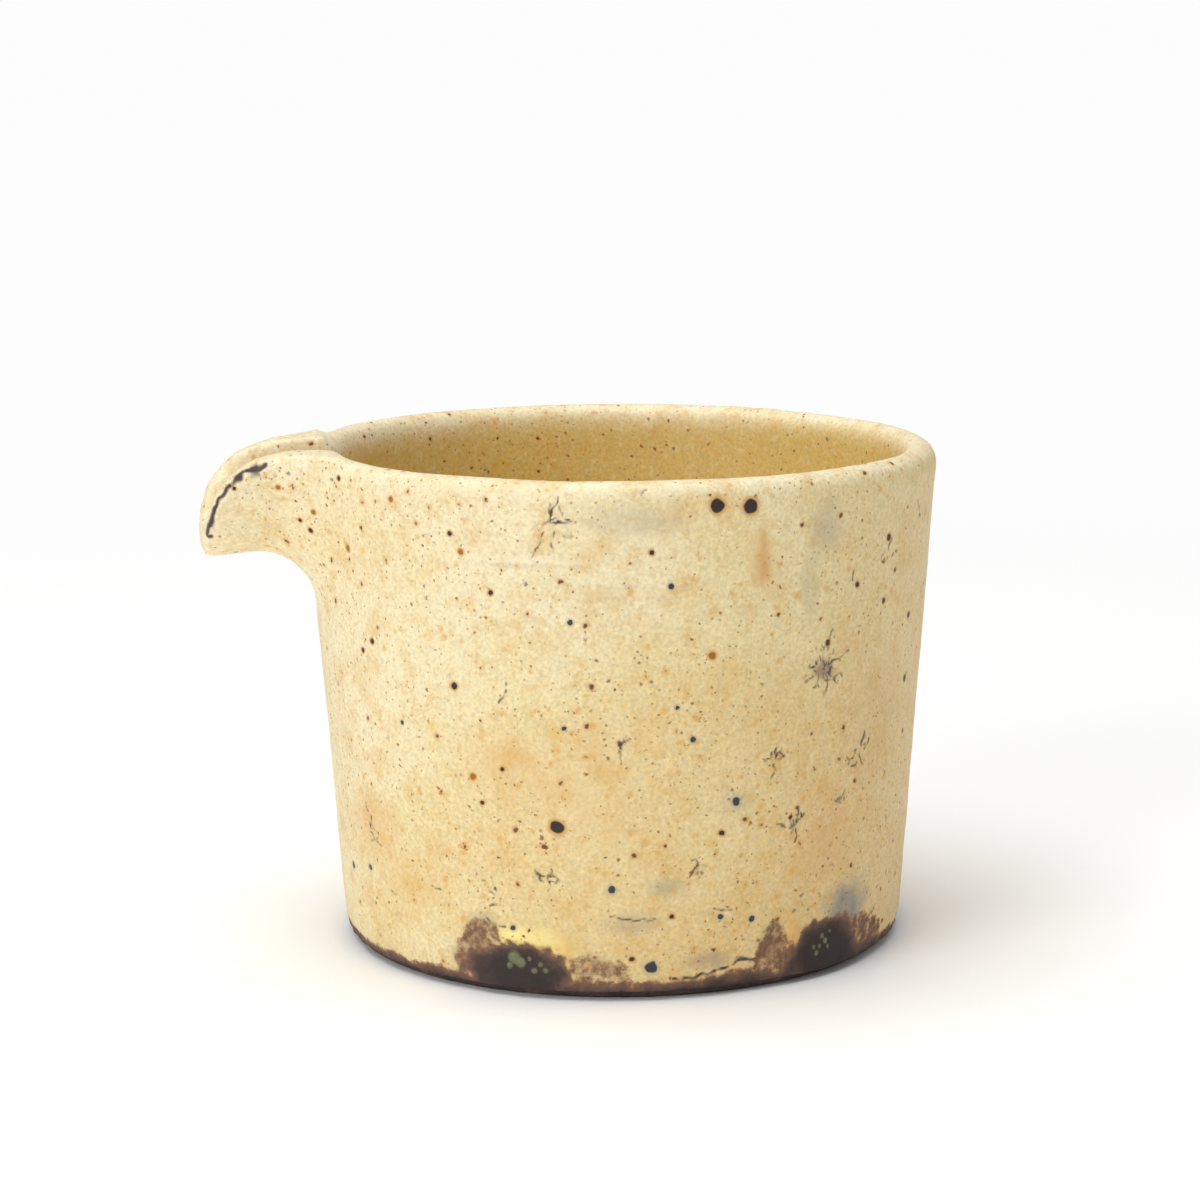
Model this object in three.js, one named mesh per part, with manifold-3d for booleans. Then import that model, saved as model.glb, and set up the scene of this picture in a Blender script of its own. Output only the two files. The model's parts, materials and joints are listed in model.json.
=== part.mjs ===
// A katakuchi: a small hand-built stoneware jug with one open pouring lip.
// The clay pieces are the ones that the potter cuts, folds and lutes together: a base disc, a
// wall, a coil pressed into the inner corner, a folded spout and a coil round the spout's joint.
// One coat of slip and glaze covers them all, down to a bare band at the foot.
// Millimetres, +Z up. The origin is the centre of the foot's underside, and the spout points along -X.
import * as THREE from "three";
import { mergeVertices } from "three/addons/utils/BufferGeometryUtils.js";
import Module from "manifold-3d";

const wasm = await Module();
wasm.setup();

// The clay body
const RIM_HEIGHT = 70.7; // top of the clay lip
const RIM_RADIUS = 44.4; // outside of the clay at the lip
const FOOT_RADIUS = 39.5; // where the outer taper would meet the table
const RIM_WALL = 3.3; // thickness of the clay at the lip
const FOOT_WALL = 4.6; // thickness of the clay where the wall stands on the base
const BASE_THICKNESS = 6;
const FOOT_ROUND = 1.5; // how far the rounded foot edge steps in
const FOOT_ROUND_HEIGHT = 3;
const CORNER_COIL_RADIUS = 6; // hollow of the coil smoothed into the inner corner

// The spout, a slab folded into a channel. Its free edge is trimmed in one curve.
const SPOUT_REACH = 14.6; // from the wall to the tip
const SPOUT_EDGE_RISE = 0.5; // how far its edge stands above the lip
const SPOUT_DEPTH = 13.2; // from its edge down to its keel
const SPOUT_ROOT_WIDTH = 19.6; // outside, where it leaves the wall
const SPOUT_TIP_WIDTH = 16.4; // outside, at the tip
const SPOUT_WALL = 2.9; // thickness of the slab
const SPOUT_EDGE_POWER = 2.5; // 2 trims an ellipse, more makes a squarer beak
const SPOUT_SECTION_POWER = 2.4; // 2 folds a half ellipse, more makes a flatter keel
const SPOUT_SAG = 0.8; // how far the keel hangs down at the tip
const JOINT_COIL_RADIUS = 9; // hollow of the coil smoothed round the spout's joint

// The coat and the joints
const JOINT_GAP = 0.3; // between luted pieces
const COAT_THICKNESS = 0.4; // slip and glaze together
const GLAZE_LINE = 2.4; // mean height of the coat's lower edge
const GLAZE_LINE_WAVES = [
  // how far that edge runs up and down, in so many waves round the foot
  { rise: 0.35, count: 3, start: 0.6 },
  { rise: 0.25, count: 7, start: 0 },
];
const FINGER_MARKS = [
  // bare patches where the jug was held in the glaze: degrees from +X, and their size
  { angle: -120, width: 17, height: 6.5 },
  { angle: -56, width: 17, height: 6.5 },
];

// The potter's hand: how far the finished jug is from round and level, growing up the wall
const OVAL = 0.3;
const THREE_SIDED = 0.15;
const THREE_SIDED_START = 1; // radians from +X to its first bulge
const RIM_TILT = 0.35; // up at the spout, down opposite it

// Fineness of the round shapes
const TURN_STEPS = 64;
const LIP_STEPS = 6;
const FOOT_STEPS = 3;
const CORNER_STEPS = 4;
const MARK_STEPS = 20;
const CHANNEL_STEPS = 20; // points round a channel section
const REACH_STEPS = 8; // sections along the spout
const FLARE_STEPS = 6; // sections through the joint coil
const EDGE_STEPS = 16; // points along the spout's free edge

// Worked out from the sizes above
const COAT = JOINT_GAP + COAT_THICKNESS; // from the clay to the outside of the coat
const EDGE_HEIGHT = RIM_HEIGHT + SPOUT_EDGE_RISE;
const KEEL_HEIGHT = EDGE_HEIGHT - SPOUT_DEPTH;
const PAST = 20; // how far a cutting shape runs past what it cuts
const MERGE_DISTANCE = 1e-4; // corners closer than this are one

const rise = (z) => z / RIM_HEIGHT;
const outerRadius = (z) => FOOT_RADIUS + (RIM_RADIUS - FOOT_RADIUS) * rise(z);
const wallThickness = (z) => FOOT_WALL + (RIM_WALL - FOOT_WALL) * rise(z);
const innerRadius = (z) => outerRadius(z) - wallThickness(z);

// A closed three.js geometry becomes a solid that can be joined and cut.
function solidFrom(geometry) {
  const bare = geometry.clone();
  bare.deleteAttribute("normal");
  bare.deleteAttribute("uv");
  const merged = mergeVertices(bare, MERGE_DISTANCE);
  const mesh = new wasm.Mesh({
    numProp: 3,
    vertProperties: Float32Array.from(merged.attributes.position.array),
    triVerts: Uint32Array.from(merged.index.array),
  });
  return new wasm.Manifold(mesh);
}

// The way back: a solid becomes a three.js geometry.
function geometryFrom(solid) {
  const mesh = solid.getMesh();
  const stride = mesh.numProp;
  const positions = new Float32Array(mesh.numVert * 3);
  for (let i = 0; i < mesh.numVert; i++) {
    positions.set(mesh.vertProperties.subarray(i * stride, i * stride + 3), i * 3);
  }
  const geometry = new THREE.BufferGeometry();
  geometry.setAttribute("position", new THREE.BufferAttribute(positions, 3));
  geometry.setIndex(new THREE.BufferAttribute(Uint32Array.from(mesh.triVerts), 1));
  return geometry;
}

// Turns a profile of [radius, height] points, listed upwards on the outside, about +Z.
function turned(profile) {
  const points = profile.map(([radius, height]) => new THREE.Vector2(radius, height));
  const lathe = new THREE.LatheGeometry(points, TURN_STEPS);
  lathe.rotateX(Math.PI / 2);
  return solidFrom(lathe);
}

// The underside and the rounded foot edge, as a profile from the axis.
function footProfile(grow) {
  const points = [[0, 0]];
  for (let i = 0; i <= FOOT_STEPS; i++) {
    const angle = (Math.PI / 2) * (i / FOOT_STEPS);
    const height = FOOT_ROUND_HEIGHT * (1 - Math.cos(angle));
    points.push([outerRadius(height) + grow - FOOT_ROUND * (1 - Math.sin(angle)), height]);
  }
  return points;
}

// The rounded lip, from its outside over the top to its inside.
function lipProfile(grow) {
  const radius = RIM_WALL / 2;
  const middle = outerRadius(RIM_HEIGHT - radius) - radius;
  const points = [];
  for (let i = 0; i <= LIP_STEPS; i++) {
    const angle = (Math.PI * i) / LIP_STEPS;
    points.push([
      middle + (radius + grow) * Math.cos(angle),
      RIM_HEIGHT - radius + (radius + grow) * Math.sin(angle),
    ]);
  }
  return points;
}

// The hollow corner between the wall's inside and the floor, from the wall down to the floor.
function cornerProfile(grow) {
  const radius = CORNER_COIL_RADIUS;
  const centreHeight = BASE_THICKNESS + radius;
  const centreRadius = innerRadius(centreHeight) - radius;
  const points = [];
  for (let i = 0; i <= CORNER_STEPS; i++) {
    const angle = (-Math.PI / 2) * (i / CORNER_STEPS);
    points.push([
      centreRadius + (radius - grow) * Math.cos(angle),
      centreHeight + (radius - grow) * Math.sin(angle),
    ]);
  }
  return points;
}

// The whole cup in one profile, grown on every side but the underside.
function cup(grow) {
  const floor = [0, BASE_THICKNESS + grow];
  return turned([...footProfile(grow), ...lipProfile(grow), ...cornerProfile(grow), floor]);
}

// What the cup's outside would fill if it had no hollow, taller than the lip.
function cupBlank(grow) {
  const top = RIM_HEIGHT + PAST;
  const foot = [[0, 0], [outerRadius(0) + grow, 0]];
  return turned([...foot, [outerRadius(top) + grow, top], [0, top]]);
}

// The room inside the cup, taller than the lip.
function hollow(grow) {
  const top = RIM_HEIGHT + PAST;
  const mouth = [innerRadius(RIM_HEIGHT) - grow, RIM_HEIGHT];
  const above = [innerRadius(RIM_HEIGHT) - grow, top];
  const floor = [0, BASE_THICKNESS + grow];
  return turned([floor, ...cornerProfile(grow).reverse(), mouth, above, [0, top]]);
}

// How far out of the wall a point of a spout section lies. Near the wall a section bends round
// it, and towards the tip it turns flat.
function sectionPoint(reach, side, height) {
  const wall = outerRadius(height);
  const bent = Math.sqrt(wall * wall - side * side);
  const flat = THREE.MathUtils.smoothstep(reach, 0, SPOUT_REACH);
  return new THREE.Vector3(-(reach + THREE.MathUtils.lerp(bent, wall, flat)), side, height);
}

// A channel section: half a superellipse, from one upper edge round the keel to the other, and
// carried on upwards past the spout's edge.
function channelSection(reach, halfWidth, keel) {
  const points = [];
  const power = 2 / SPOUT_SECTION_POWER;
  for (let i = 0; i <= CHANNEL_STEPS; i++) {
    const angle = (Math.PI * i) / CHANNEL_STEPS;
    const across = Math.sign(Math.cos(angle)) * Math.abs(Math.cos(angle)) ** power;
    const down = Math.abs(Math.sin(angle)) ** power;
    const height = EDGE_HEIGHT - (EDGE_HEIGHT - keel) * down;
    points.push(sectionPoint(reach, -halfWidth * across, height));
  }
  const [first, last] = [points[0], points[CHANNEL_STEPS]];
  const lift = new THREE.Vector3(0, 0, PAST);
  return [...points, last.clone().add(lift), first.clone().add(lift)];
}

// Skins a row of closed sections that all have as many points, and caps both ends.
function lofted(sections) {
  const count = sections[0].length;
  const positions = sections.flat().flatMap((point) => point.toArray());
  const faces = [];
  for (let row = 0; row + 1 < sections.length; row++) {
    for (let i = 0; i < count; i++) {
      const next = (i + 1) % count;
      const [a, b] = [row * count + i, row * count + next];
      faces.push(a, a + count, b, b, a + count, b + count);
    }
  }
  const last = (sections.length - 1) * count;
  for (let i = 1; i + 1 < count; i++) {
    faces.push(0, i, i + 1);
    faces.push(last, last + i + 1, last + i);
  }
  const geometry = new THREE.BufferGeometry();
  geometry.setAttribute("position", new THREE.Float32BufferAttribute(positions, 3));
  geometry.setIndex(faces);
  return solidFrom(geometry);
}

const spoutHalfWidth = (reach) =>
  THREE.MathUtils.lerp(SPOUT_ROOT_WIDTH, SPOUT_TIP_WIDTH, reach / SPOUT_REACH) / 2;
const keelHeight = (reach) =>
  KEEL_HEIGHT - SPOUT_SAG * THREE.MathUtils.smoothstep(reach, SPOUT_REACH / 3, SPOUT_REACH);

// The folded slab's outside, from inside the cup wall to past the tip.
function channelOutside(grow) {
  const sections = [];
  for (let i = -1; i <= REACH_STEPS + 1; i++) {
    const reach = (SPOUT_REACH * i) / REACH_STEPS;
    sections.push(channelSection(reach, spoutHalfWidth(reach) + grow, keelHeight(reach) - grow));
  }
  return lofted(sections);
}

// The same slab's inside, which also notches the wall and runs past the tip.
function channelInside(grow) {
  const inset = SPOUT_WALL + grow;
  const start = -2 * FOOT_WALL;
  const sections = [];
  for (let i = 0; i <= REACH_STEPS; i++) {
    const reach = THREE.MathUtils.lerp(start, SPOUT_REACH + inset, i / REACH_STEPS);
    sections.push(channelSection(reach, spoutHalfWidth(reach) - inset, keelHeight(reach) + inset));
  }
  return lofted(sections);
}

// The slab's outside with the joint coil's quarter-round flare where it meets the wall.
function channelFlared(grow) {
  const sections = [];
  for (let i = -1; i <= FLARE_STEPS; i++) {
    const turn = (Math.PI / 2) * (Math.max(i, 0) / FLARE_STEPS);
    const radius = JOINT_COIL_RADIUS - grow;
    const out = radius * (1 - Math.cos(turn)) + grow;
    const flare = radius * (1 - Math.sin(turn));
    const reach = i < 0 ? -wallThickness(RIM_HEIGHT) / 2 : out;
    const halfWidth = spoutHalfWidth(reach) + grow + flare;
    sections.push(channelSection(reach, halfWidth, keelHeight(reach) - grow - flare));
  }
  return lofted(sections);
}

// The blank that trims the spout's free edge: level at the wall, and down round the beak.
function edgeBlank(grow) {
  const wall = outerRadius(EDGE_HEIGHT);
  const start = innerRadius(EDGE_HEIGHT);
  const tip = keelHeight(SPOUT_REACH) - grow;
  const power = 2 / SPOUT_EDGE_POWER;
  const shape = new THREE.Shape();
  shape.moveTo(-start, 0);
  shape.lineTo(-start, EDGE_HEIGHT + grow);
  for (let i = 0; i <= EDGE_STEPS; i++) {
    const angle = (Math.PI / 2) * (i / EDGE_STEPS);
    const out = wall + (SPOUT_REACH + grow) * Math.sin(angle) ** power;
    shape.lineTo(-out, tip + (EDGE_HEIGHT + grow - tip) * Math.cos(angle) ** power);
  }
  shape.lineTo(-(wall + SPOUT_REACH + grow), 0);
  const depth = 2 * (RIM_RADIUS + PAST);
  const extruded = new THREE.ExtrudeGeometry(shape, { depth, bevelEnabled: false });
  extruded.rotateX(Math.PI / 2);
  extruded.translate(0, depth / 2, 0);
  return solidFrom(extruded);
}

// The outer form of the finished jug, grown on every side, with its hollow and its channel cut.
function jugForm(grow) {
  const spout = channelOutside(grow).add(channelFlared(grow)).intersect(edgeBlank(grow));
  return cup(grow).add(spout.subtract(hollow(grow))).subtract(channelInside(grow));
}

// The base disc, with its rounded edge. The wall stands on its flat top.
function baseDisc() {
  const edge = [outerRadius(BASE_THICKNESS), BASE_THICKNESS];
  return turned([...footProfile(0), edge, [0, BASE_THICKNESS]]);
}

// The tapered wall with its rounded lip, notched for the channel.
function bodyWall() {
  const outside = [outerRadius(BASE_THICKNESS), BASE_THICKNESS];
  const inside = [innerRadius(BASE_THICKNESS), BASE_THICKNESS];
  const ring = turned([inside, outside, ...lipProfile(0), inside]);
  return ring.subtract(channelInside(0));
}

// The coil that fills the inner corner, hollowed to one smooth curve.
function cornerCoil() {
  const top = BASE_THICKNESS + CORNER_COIL_RADIUS;
  const bottom = BASE_THICKNESS + JOINT_GAP;
  const start = innerRadius(top) - CORNER_COIL_RADIUS;
  const foot = [innerRadius(bottom) - JOINT_GAP, bottom];
  const head = [innerRadius(top) - JOINT_GAP, top];
  return turned([[start, bottom], foot, head, [start, top], [start, bottom]]).subtract(hollow(0));
}

// The folded and trimmed channel, seated against the wall.
function spout() {
  const trimmed = channelOutside(0).intersect(edgeBlank(0));
  return trimmed.subtract(channelInside(0)).subtract(cupBlank(JOINT_GAP));
}

// The coil round the spout's joint, smoothed to a quarter round between wall and spout.
function jointCoil() {
  const flare = channelFlared(0).intersect(edgeBlank(0));
  return flare.subtract(channelOutside(JOINT_GAP)).subtract(cupBlank(JOINT_GAP));
}

// What the coat leaves bare: the foot below the glaze line, and the finger marks.
function bareFoot() {
  const reach = RIM_RADIUS + PAST;
  const disc = new THREE.CylinderGeometry(reach, reach, GLAZE_LINE + PAST, TURN_STEPS, 1);
  disc.rotateX(Math.PI / 2);
  disc.translate(0, 0, (GLAZE_LINE - PAST) / 2);
  const position = disc.attributes.position;
  for (let i = 0; i < position.count; i++) {
    const [x, y, z] = [position.getX(i), position.getY(i), position.getZ(i)];
    const onTopEdge = z > 0 && Math.hypot(x, y) > reach / 2;
    if (onTopEdge) position.setZ(i, z + glazeLineWave(Math.atan2(y, x)));
  }
  return FINGER_MARKS.reduce((bare, mark) => bare.add(fingerMark(mark)), solidFrom(disc));
}

const glazeLineWave = (angle) =>
  GLAZE_LINE_WAVES.reduce((sum, wave) => sum + wave.rise * Math.sin(wave.count * angle + wave.start), 0);

// One finger mark: an oval plug through the outer coat, half hidden by the table.
function fingerMark({ angle, width, height }) {
  const depth = FOOT_WALL / 2 + PAST;
  const plug = new THREE.CylinderGeometry(1, 1, depth, MARK_STEPS);
  plug.rotateZ(Math.PI / 2);
  plug.scale(1, width / 2, height);
  plug.translate(outerRadius(0) - FOOT_WALL / 2 + depth / 2, 0, 0);
  plug.rotateZ(THREE.MathUtils.degToRad(angle));
  return solidFrom(plug);
}

// One coat over the whole form, open at the foot.
function glazeCoat() {
  return jugForm(COAT).subtract(jugForm(JOINT_GAP)).subtract(bareFoot());
}

// How far the wall at its lip stands out of round, in millimetres.
const outOfRound = (angle) =>
  OVAL * Math.cos(2 * angle) + THREE_SIDED * Math.cos(3 * angle + THREE_SIDED_START);

// The same gentle unevenness on every piece, so that luted faces stay together.
function shapeByHand(geometry) {
  const position = geometry.attributes.position;
  for (let i = 0; i < position.count; i++) {
    const [x, y, z] = [position.getX(i), position.getY(i), position.getZ(i)];
    const up = Math.max(0, (z - BASE_THICKNESS) / (RIM_HEIGHT - BASE_THICKNESS));
    const share = 1 + (up * outOfRound(Math.atan2(y, x))) / RIM_RADIUS;
    const tilt = -RIM_TILT * up * (x / RIM_RADIUS);
    position.setXYZ(i, x * share, y * share, z + tilt);
  }
  geometry.computeVertexNormals();
  return geometry;
}

// Finishes
const clay = () =>
  new THREE.MeshStandardMaterial({ color: 0x4a3a34, roughness: 0.9, metalness: 0 });
const glaze = () =>
  new THREE.MeshStandardMaterial({ color: 0xe8d6a4, roughness: 0.45, metalness: 0 });

function piece(name, solid, material) {
  const mesh = new THREE.Mesh(shapeByHand(geometryFrom(solid)), material);
  mesh.name = name;
  return mesh;
}

const jug = new THREE.Group();
jug.name = "katakuchi";
jug.add(piece("base_disc", baseDisc(), clay()));
jug.add(piece("body_wall", bodyWall(), clay()));
jug.add(piece("corner_coil", cornerCoil(), clay()));
jug.add(piece("spout", spout(), clay()));
jug.add(piece("spout_joint_coil", jointCoil(), clay()));
jug.add(piece("glaze_coat", glazeCoat(), glaze()));

export default jug;
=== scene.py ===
# %% [markdown]
# This lesson dresses a katakuchi, a small stoneware jug with one open pouring lip.
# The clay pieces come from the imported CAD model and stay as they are. One new piece covers them:
# the coat of white slip and cream glaze, with its specks, cracks and finger marks.

# %% The frame
import json
import math

import bpy
import numpy as np
from mathutils import Matrix, Vector, noise
from mathutils.bvhtree import BVHTree

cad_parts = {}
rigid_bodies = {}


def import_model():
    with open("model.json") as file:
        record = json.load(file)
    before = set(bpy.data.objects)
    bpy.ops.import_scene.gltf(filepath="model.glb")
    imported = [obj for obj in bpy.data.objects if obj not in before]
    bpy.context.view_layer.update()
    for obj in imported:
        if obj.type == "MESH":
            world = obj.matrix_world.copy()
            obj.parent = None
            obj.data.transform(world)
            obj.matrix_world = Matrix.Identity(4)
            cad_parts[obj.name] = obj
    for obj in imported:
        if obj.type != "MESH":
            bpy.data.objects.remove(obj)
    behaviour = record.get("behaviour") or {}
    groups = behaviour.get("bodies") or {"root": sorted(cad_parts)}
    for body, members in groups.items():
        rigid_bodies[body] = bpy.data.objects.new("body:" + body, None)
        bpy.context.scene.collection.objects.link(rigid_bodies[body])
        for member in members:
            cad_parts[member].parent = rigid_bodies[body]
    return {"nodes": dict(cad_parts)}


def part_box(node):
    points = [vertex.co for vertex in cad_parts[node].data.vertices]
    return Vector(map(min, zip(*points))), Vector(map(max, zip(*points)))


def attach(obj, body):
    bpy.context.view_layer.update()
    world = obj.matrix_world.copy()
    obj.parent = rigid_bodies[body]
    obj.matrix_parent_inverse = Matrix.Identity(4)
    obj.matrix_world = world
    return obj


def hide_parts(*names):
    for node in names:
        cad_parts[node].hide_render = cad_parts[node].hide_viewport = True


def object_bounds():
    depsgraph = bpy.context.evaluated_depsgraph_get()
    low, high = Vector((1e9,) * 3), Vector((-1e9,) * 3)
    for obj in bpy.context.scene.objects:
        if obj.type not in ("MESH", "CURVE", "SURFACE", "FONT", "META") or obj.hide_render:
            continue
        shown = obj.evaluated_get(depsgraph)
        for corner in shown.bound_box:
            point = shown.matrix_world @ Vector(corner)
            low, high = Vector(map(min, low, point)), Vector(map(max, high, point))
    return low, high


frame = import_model()
cad_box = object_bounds()
MM = 0.001
CLAY_NODES = ["base_disc", "body_wall", "corner_coil", "spout", "spout_joint_coil"]
for name in frame["nodes"]:
    low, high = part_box(name)
    print(name, [round((b - a) / MM, 1) for a, b in zip(low, high)], "mm")

# %% [markdown]
# The camera comes first, because every later choice is judged through it. It stands half a metre
# away with a 100 mm lens, a little above the rim and a little to the side of the lip, and it is
# turned by half a degree about its own line of sight, as a hand-held camera is.

# %% The camera
CAMERA_PLACE = (-91.6 * MM, -465.1 * MM, 133.9 * MM)
CAMERA_TURN = math.radians(-10.8)
CAMERA_DIP = 0.1794
CAMERA_ROLL = -0.0105
camera_data = bpy.data.cameras.new("camera")
camera_data.sensor_width = 36
camera_data.lens = 100.09
camera = bpy.data.objects.new("camera", camera_data)
bpy.context.scene.collection.objects.link(camera)
aim = Matrix.Rotation(CAMERA_TURN, 4, "Z") @ Matrix.Rotation(math.pi / 2 - CAMERA_DIP, 4, "X")
camera.matrix_world = Matrix.Translation(CAMERA_PLACE) @ aim @ Matrix.Rotation(CAMERA_ROLL, 4, "Z")
bpy.context.scene.camera = camera
print("camera", round(Vector(CAMERA_PLACE).length, 3), "m from the foot")

# %% [markdown]
# The coat is one skin that flows over the wall, the rim, the inside and the spout. The CAD coat has
# the right shape, with facets. The faces that look at the clay are taken away, a plug closes the
# outer ones below the foot, and a voxel remesh turns that closed form into an even mesh that can be
# shaped like wet glaze.

# %% A closed form of the glazed jug
SKIN_LIMIT = 0.55 * MM  # the coat's inner side is nearer to the clay than this, and looks at it
PLUG_DEPTH = 3 * MM
FOOT_RIM = 10 * MM  # the coat's lower rim lies below this; the voxels bridge the slits higher up


def surface_of(objects):
    points, faces = [], []
    for item in objects:
        start = len(points)
        points += [tuple(v.co) for v in item.data.vertices]
        faces += [[start + i for i in p.vertices] for p in item.data.polygons]
    return BVHTree.FromPolygons(points, faces)


def edit(piece, mode, chosen=None):
    """Opens a piece in edit mode with all of it selected, or only what is marked as chosen."""
    bpy.ops.object.select_all(action="DESELECT")
    piece.select_set(True)
    bpy.context.view_layer.objects.active = piece
    bpy.ops.object.mode_set(mode="EDIT")
    bpy.ops.mesh.select_mode(type=mode)
    bpy.ops.mesh.select_all(action="SELECT" if chosen is None else "DESELECT")
    if chosen is not None:
        bpy.ops.object.mode_set(mode="OBJECT")
        items = {"VERT": piece.data.vertices, "EDGE": piece.data.edges, "FACE": piece.data.polygons}
        items[mode].foreach_set("select", chosen)
        bpy.ops.object.mode_set(mode="EDIT")


glaze = bpy.data.objects.new("glaze", frame["nodes"]["glaze_coat"].data.copy())
bpy.context.scene.collection.objects.link(glaze)
edit(glaze, "VERT")
bpy.ops.mesh.remove_doubles(threshold=0.002 * MM)
bpy.ops.object.mode_set(mode="OBJECT")
clay_surface = surface_of([frame["nodes"][name] for name in CLAY_NODES])


def looks_at_clay(face):
    place, _, _, distance = clay_surface.find_nearest(face.center)
    return distance < SKIN_LIMIT and (place - face.center).normalized().dot(face.normal) > -0.35


edit(glaze, "FACE", [looks_at_clay(face) for face in glaze.data.polygons])
bpy.ops.mesh.delete(type="FACE")
bpy.ops.object.mode_set(mode="OBJECT")
far_right = max(glaze.data.vertices, key=lambda v: v.co.x).index
edit(glaze, "VERT", [v.index == far_right for v in glaze.data.vertices])
bpy.ops.mesh.select_linked()
bpy.ops.mesh.select_all(action="INVERT")
bpy.ops.mesh.delete(type="VERT")
bpy.ops.object.mode_set(mode="OBJECT")
uses = np.zeros(len(glaze.data.edges), dtype=int)
for loop in glaze.data.loops:
    uses[loop.edge_index] += 1
low = [glaze.data.vertices[edge.vertices[0]].co.z < FOOT_RIM for edge in glaze.data.edges]
edit(glaze, "EDGE", (uses == 1) & np.array(low))
bpy.ops.mesh.extrude_edges_move()
bpy.ops.transform.resize(value=(1, 1, 0), center_override=(0, 0, -PLUG_DEPTH))
bpy.ops.mesh.edge_face_add()
bpy.ops.mesh.select_all(action="SELECT")
bpy.ops.mesh.normals_make_consistent(inside=False)
bpy.ops.object.mode_set(mode="OBJECT")
print("closed form:", len(glaze.data.polygons), "faces")

# %% [markdown]
# The voxel remesh gives squares of one size all over, so a swell or a ridge is equally smooth
# wherever it lies. A short smoothing takes the steps of the voxels away.

# %% An even mesh
VOXEL = 0.9 * MM


def modified(piece, kind, **settings):
    bpy.ops.object.select_all(action="DESELECT")
    piece.select_set(True)
    bpy.context.view_layer.objects.active = piece
    modifier = piece.modifiers.new(kind.lower(), kind)
    for key, value in settings.items():
        setattr(modifier, key, value)
    bpy.ops.object.modifier_apply(modifier=modifier.name)


modified(glaze, "REMESH", mode="VOXEL", voxel_size=VOXEL)
modified(glaze, "SMOOTH", factor=0.5, iterations=3)
print("even mesh:", len(glaze.data.polygons), "faces")

# %% [markdown]
# Marks on the pot are placed as a potter would point at them: by how far round they are, in degrees
# from +X, and how high, in millimetres. A ray from outside finds the skin there. Marks on the spout
# are placed by how far out and how high they are.

# %% Places on the skin
OUTSIDE = 80 * MM
SPOUT_SIDE = -9 * MM  # the near side of the lip, for marks on its very edge
skin = surface_of([glaze])


def on_wall(turn, height):
    away = Vector((math.cos(math.radians(turn)), math.sin(math.radians(turn)), 0))
    start = away * OUTSIDE + Vector((0, 0, height * MM))
    return np.array(skin.ray_cast(start, -away)[0]) / MM


def on_spout(x, height):
    hit = skin.ray_cast(Vector((x * MM, -OUTSIDE, height * MM)), Vector((0, 1, 0)))[0]
    if hit is None:
        hit = skin.find_nearest(Vector((x * MM, SPOUT_SIDE, height * MM)))[0]
    return np.array(hit) / MM


def places(piece):
    co = np.empty(len(piece.data.vertices) * 3)
    piece.data.vertices.foreach_get("co", co)
    return co.reshape(-1, 3) / MM


def normals(piece):
    co = np.empty(len(piece.data.vertices) * 3)
    piece.data.vertices.foreach_get("normal", co)
    return co.reshape(-1, 3)


def move(piece, new_places):
    piece.data.vertices.foreach_set("co", (new_places * MM).ravel())
    piece.data.update()


def lumps(points, size, seed):
    """Smooth noise from about -1 to 1, whose lumps are so many millimetres wide."""
    shift = Vector((seed, seed, seed))
    return np.array([noise.noise(Vector(p) / size + shift) for p in points])


def fade(value, at_one, at_zero):
    share = np.clip((value - at_zero) / (at_one - at_zero), 0, 1)
    return share * share * (3 - 2 * share)


print("front of the foot:", on_wall(-100, 5).round(1))

# %% [markdown]
# The foot is where a kohiki jug shows its clay. The coat ends in an uneven line, and two bare
# patches show where fingers held the pot in the glaze bucket. One number for every point says how
# far above the bare clay it lies: below 0 the clay shows, above 1 or 2 mm the glaze is full.

# %% The bare foot and the finger marks
GLAZE_LINE = 2.3
FINGER_MARKS = [  # turn, height, half width, half height, how much glaze is left at the middle
    (-122.0, 3.0, 7.4, 4.4, -9),
    (-129.5, 5.8, 3.4, 4.2, 0.35),
    (-106, 3.6, 4.2, 2.4, 0.45),
    (-57.0, 3.2, 7.2, 5.0, -9),
    (-71, 4.6, 2.4, 4.6, 0.3),
    (-46, 3.2, 5, 3.4, 0.2),
]


def oval(points, turn, height, half_width, half_height):
    """0 at the middle of an oval on the wall, 1 on its edge."""
    apart = points - on_wall(turn, height)
    across = np.linalg.norm(apart[:, :2], axis=1) / half_width
    return np.hypot(across, apart[:, 2] / half_height)


def above_bare(points):
    line = GLAZE_LINE + 0.8 * lumps(points, 9, 3) + 0.35 * lumps(points, 2.5, 5)
    result = points[:, 2] - line
    for turn, height, half_width, half_height, left_over in FINGER_MARKS:
        edge = oval(points, turn, height, half_width, half_height) - 1
        edge = edge * half_height + 1.0 * lumps(points, 3, 7) + 0.5 * lumps(points, 1.2, 9)
        result = np.minimum(result, np.maximum(edge, left_over))
    return result


print("clay shows on", round(100 * float(np.mean(above_bare(places(glaze)) < 0))), "% of the form's points")


# %% [markdown]
# No thrown or slabbed wall is true. Long swells, finger rings and the small waves of thick glaze are
# added by moving every point along its normal. The glaze is thicker just above each finger mark,
# where it ran down to the dry patch and stopped in a ridge.

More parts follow.
